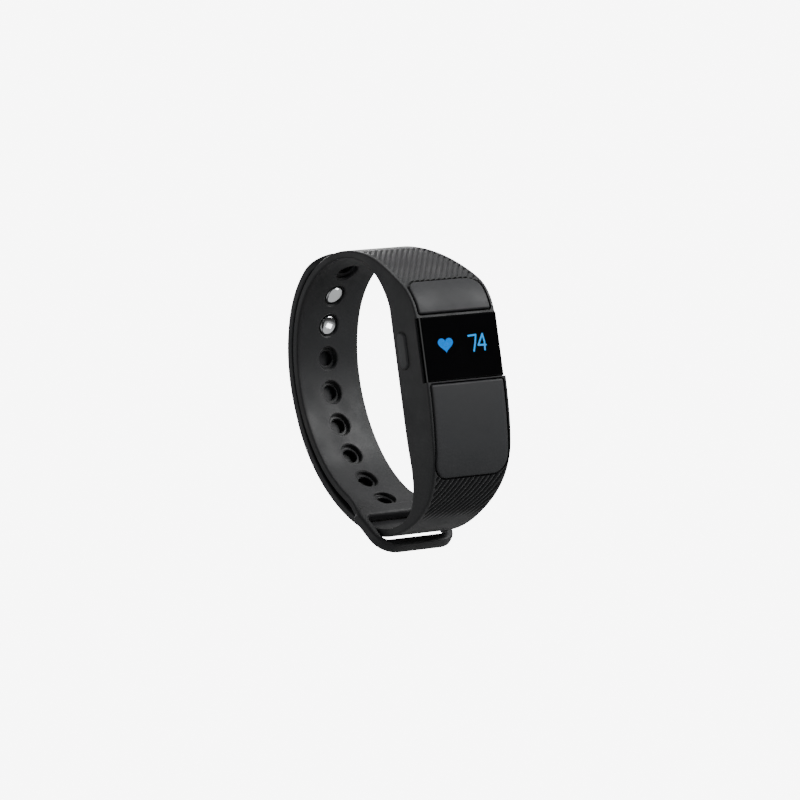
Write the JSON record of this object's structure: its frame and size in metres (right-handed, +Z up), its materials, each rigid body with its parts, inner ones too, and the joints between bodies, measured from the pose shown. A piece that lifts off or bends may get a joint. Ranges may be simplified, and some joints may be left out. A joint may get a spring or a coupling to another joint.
{
  "type": "fitness tracker band",
  "caption": "Wrist activity tracker: one-piece silicone strap with a keeper ring and stud clasp around a thin capsule with a small display, side button and wrist-side optical sensor.",
  "frame": {"origin": "centre of the wrist opening, half-way across the strap", "axes": "+X along the wrist axis, -Y out of the display, +Z up along the display"},
  "size_m": [0.0197, 0.047, 0.0597],
  "materials": {
    "silicone": "matte",
    "panel": "matte",
    "case": "matte",
    "gloss_black": "gloss",
    "stud_chrome": "polished",
    "steel": "satin",
    "board": "satin",
    "chip": "matte",
    "copper": "satin",
    "gold": "satin",
    "cell": "satin",
    "ceramic": "satin",
    "led_resin": "gloss",
    "smoked": "gloss",
    "seal": "matte"
  },
  "bodies": {
    "band": {"strap": "silicone", "panel_upper": "panel", "panel_lower": "panel", "case_front": "case", "case_back": "gloss_black", "case_gasket": "seal", "case_screws": "steel", "display_lens": "gloss_black", "display_panel": "gloss_black", "display_flex": "copper", "touch_pad": "copper", "main_board": "board", "processor": "chip", "memory_chip": "chip", "motion_sensor": "chip", "clock_crystal": "steel", "antenna": "ceramic", "battery": "cell", "battery_tabs": "steel", "motor_can": "steel", "switch_body": "ceramic", "sensor_board": "board", "sensor_leds": "led_resin", "photodiode": "chip", "light_barrier": "chip", "sensor_window": "smoked", "charge_contacts": "gold"},
    "tail": {"tail_lower": "silicone", "clasp_stud_lower": "stud_chrome"},
    "tip": {"tail_tip": "silicone", "clasp_stud_upper": "stud_chrome"},
    "button": {"side_button": "silicone"},
    "plunger": {"switch_plunger": "chip"},
    "rotor": {"motor_rotor": "steel"}
  },
  "joints": [
    {"name": "tail_peel", "type": "hinge", "parent": "band", "child": "tail", "pos_m": [0, 0.0198, -0.00136], "axis": [-1, 0, 0], "range_deg": [0, 14], "stiffness_Nm_per_rad": 0.02, "springref_deg": -5.73},
    {"name": "tip_peel", "type": "hinge", "parent": "tail", "child": "tip", "pos_m": [0, 0.01664, 0.0201], "axis": [-1, 0, 0], "range_deg": [0, 56], "stiffness_Nm_per_rad": 0.004, "springref_deg": -5.73},
    {"name": "button_press", "type": "slide", "parent": "band", "child": "button", "axis": [1, 0, 0], "range_m": [0, 0.00035], "stiffness_N_per_m": 800, "springref_m": -0.0002},
    {"name": "plunger_press", "type": "slide", "parent": "band", "child": "plunger", "axis": [1, 0, 0], "range_m": [0, 0.00035]},
    {"name": "motor_spin", "type": "hinge", "parent": "band", "child": "rotor", "pos_m": [0.0031, -0.0205, 0.0096], "axis": [0, 1, 0], "continuous": true}
  ],
  "couplings": [
    {"joint": "tip_peel", "follows": "tail_peel", "ratio": 4},
    {"joint": "plunger_press", "follows": "button_press", "ratio": 1}
  ]
}
